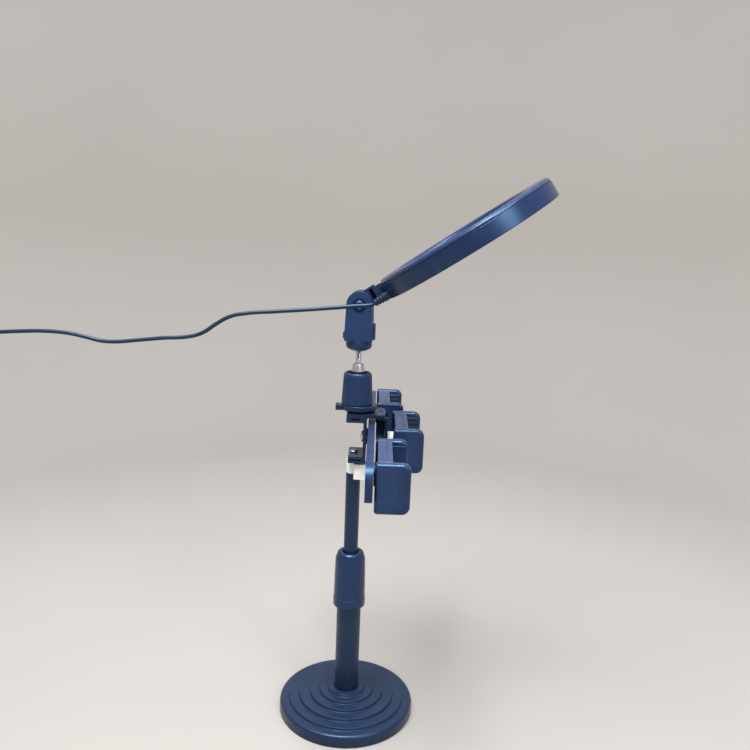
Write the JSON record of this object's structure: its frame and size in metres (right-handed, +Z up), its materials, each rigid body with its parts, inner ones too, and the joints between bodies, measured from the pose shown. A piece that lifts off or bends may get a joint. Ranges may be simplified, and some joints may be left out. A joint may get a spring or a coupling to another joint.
{
  "type": "ring light on desk stand",
  "caption": "Tilting LED ring light on a telescoping round-base desk stand, with a ball head and a crossbar of spring phone clips.",
  "frame": {"origin": "centre of the foot pad underside, on the pole axis", "axes": "+Z up along the pole; +X towards the side that the phones and the ring lean to; the crossbar runs along Y"},
  "size_m": [0.5899, 0.324, 0.5749],
  "materials": {
    "black_paint": "satin",
    "black_plastic": "satin moulded",
    "clip_plastic": "satin moulded, glossy edges",
    "gloss_plastic": "semi-gloss moulded",
    "rubber": "matte",
    "cable_rubber": "satin",
    "white_nylon": "satin",
    "diffuser": "frosted",
    "board": "satin",
    "chrome": "polished",
    "steel": "plain",
    "iron": "as cast"
  },
  "bodies": {
    "stand": {"foot_pad": "rubber", "base_cover": "black_paint", "counterweight": "iron", "base_washer": "steel", "base_bolt": "steel", "lower_tube": "black_paint", "tube_plug": "black_plastic", "collet": "black_plastic"},
    "collar": {"twist_collar": "gloss_plastic"},
    "mast": {"upper_tube": "black_paint", "mast_guide": "black_plastic", "mast_top": "white_nylon", "swivel_screw": "chrome"},
    "bracket": {"c_bracket": "black_paint", "head_screw": "steel", "bar_washer": "black_plastic", "bar_bolt": "chrome", "bar_nut": "steel", "head_disc": "black_paint", "ball_seat": "black_plastic"},
    "crossbar": {"crossbar": "black_plastic", "near_clip_pivot_screw": "steel", "far_clip_pivot_screw": "steel"},
    "hanger": {"mid_hanger": "black_paint", "mid_clip_pivot_screw": "steel"},
    "thumb_screw": {"thumb_screw": "black_plastic"},
    "near_clip": {"near_clip_housing": "clip_plastic", "near_clip_housing_pad": "rubber", "near_clip_spring": "steel", "near_clip_hub": "black_plastic"},
    "near_jaw": {"near_clip_jaw": "clip_plastic", "near_clip_jaw_pad": "rubber"},
    "mid_clip": {"mid_clip_housing": "clip_plastic", "mid_clip_housing_pad": "rubber", "mid_clip_spring": "steel", "mid_clip_hub": "white_nylon"},
    "mid_jaw": {"mid_clip_jaw": "clip_plastic", "mid_clip_jaw_pad": "rubber"},
    "far_clip": {"far_clip_housing": "clip_plastic", "far_clip_housing_pad": "rubber", "far_clip_spring": "steel", "far_clip_hub": "black_plastic"},
    "far_jaw": {"far_clip_jaw": "clip_plastic", "far_clip_jaw_pad": "rubber"},
    "lock_knob": {"lock_knob": "black_plastic"},
    "ball": {"ball": "steel"},
    "stud": {"ball_stud": "chrome"},
    "lock_ring": {"lock_ring": "black_plastic"},
    "clevis": {"clevis": "black_plastic", "ring_pivot_screw": "black_plastic", "ring_pivot_nut": "steel", "usb_cable": "cable_rubber", "usb_plug": "cable_rubber"},
    "ring_light": {"ring_frame": "gloss_plastic", "ring_back": "gloss_plastic", "ring_diffuser": "diffuser", "led_board": "board", "ring_lug": "black_plastic", "strain_relief": "cable_rubber"}
  },
  "joints": [
    {"name": "mast_slide", "type": "slide", "parent": "stand", "child": "mast", "axis": [0, 0, 1], "range_m": [-0.034, 0.046]},
    {"name": "collar_twist", "type": "hinge", "parent": "stand", "child": "collar", "pos_m": [0, 0, 0.155], "axis": [0, 0, 1], "range_deg": [0, 120]},
    {"name": "head_swivel", "type": "hinge", "parent": "mast", "child": "bracket", "pos_m": [0, 0, 0.289], "axis": [0, 0, 1], "continuous": true},
    {"name": "bar_tilt", "type": "hinge", "parent": "bracket", "child": "crossbar", "pos_m": [0.0174, 0, 0.31], "axis": [1, 0, 0], "range_deg": [-12, 12]},
    {"name": "near_clip_turn", "type": "hinge", "parent": "crossbar", "child": "near_clip", "pos_m": [0.0243, -0.114, 0.3068], "axis": [1, 0, 0], "range_deg": [-90, 90]},
    {"name": "near_jaw_slide", "type": "slide", "parent": "near_clip", "child": "near_jaw", "axis": [0, -1, 0], "range_m": [0, 0.02], "stiffness_N_per_m": 300, "springref_m": -0.015, "deforming": ["near_clip_spring"]},
    {"name": "far_clip_turn", "type": "hinge", "parent": "crossbar", "child": "far_clip", "pos_m": [0.0243, 0.114, 0.3068], "axis": [1, 0, 0], "range_deg": [-90, 90]},
    {"name": "far_jaw_slide", "type": "slide", "parent": "far_clip", "child": "far_jaw", "axis": [0, 1, 0], "range_m": [0, 0.02], "stiffness_N_per_m": 300, "springref_m": -0.015, "deforming": ["far_clip_spring"]},
    {"name": "hanger_swivel", "type": "hinge", "parent": "bracket", "child": "hanger", "pos_m": [0.0264, 0, 0.33], "axis": [0, 0, 1], "range_deg": [-8, 8]},
    {"name": "mid_clip_turn", "type": "hinge", "parent": "hanger", "child": "mid_clip", "pos_m": [0.038, 0, 0.3068], "axis": [1, 0, 0], "range_deg": [-90, 90]},
    {"name": "mid_jaw_slide", "type": "slide", "parent": "mid_clip", "child": "mid_jaw", "axis": [0, 1, 0], "range_m": [0, 0.02], "stiffness_N_per_m": 300, "springref_m": -0.015, "deforming": ["mid_clip_spring"]},
    {"name": "thumb_screw_turn", "type": "hinge", "parent": "bracket", "child": "thumb_screw", "pos_m": [0.0264, 0, 0.32], "axis": [0, 0, 1], "range_deg": [-180, 180]},
    {"name": "lock_knob_turn", "type": "hinge", "parent": "bracket", "child": "lock_knob", "pos_m": [0.0014, 0, 0.36], "axis": [0, 0, 1], "range_deg": [0, 90]},
    {"name": "ball_tilt_fore", "type": "hinge", "parent": "bracket", "child": "ball", "pos_m": [0.0014, 0, 0.3617], "axis": [0, 1, 0], "range_deg": [-10, 10]},
    {"name": "ball_tilt_side", "type": "hinge", "parent": "ball", "child": "stud", "pos_m": [0.0014, 0, 0.3617], "axis": [1, 0, 0], "range_deg": [-10, 10]},
    {"name": "lock_ring_turn", "type": "hinge", "parent": "stud", "child": "lock_ring", "pos_m": [0.0014, 0, 0.405], "axis": [0, 0, 1], "range_deg": [0, 180]},
    {"name": "clevis_swivel", "type": "hinge", "parent": "stud", "child": "clevis", "pos_m": [0.0014, 0, 0.42], "axis": [0, 0, 1], "range_deg": [-90, 90]},
    {"name": "ring_tilt", "type": "hinge", "parent": "clevis", "child": "ring_light", "pos_m": [0.0014, 0, 0.4462], "axis": [-0.0506, -0.9987, 0], "range_deg": [-50, 100]}
  ]
}
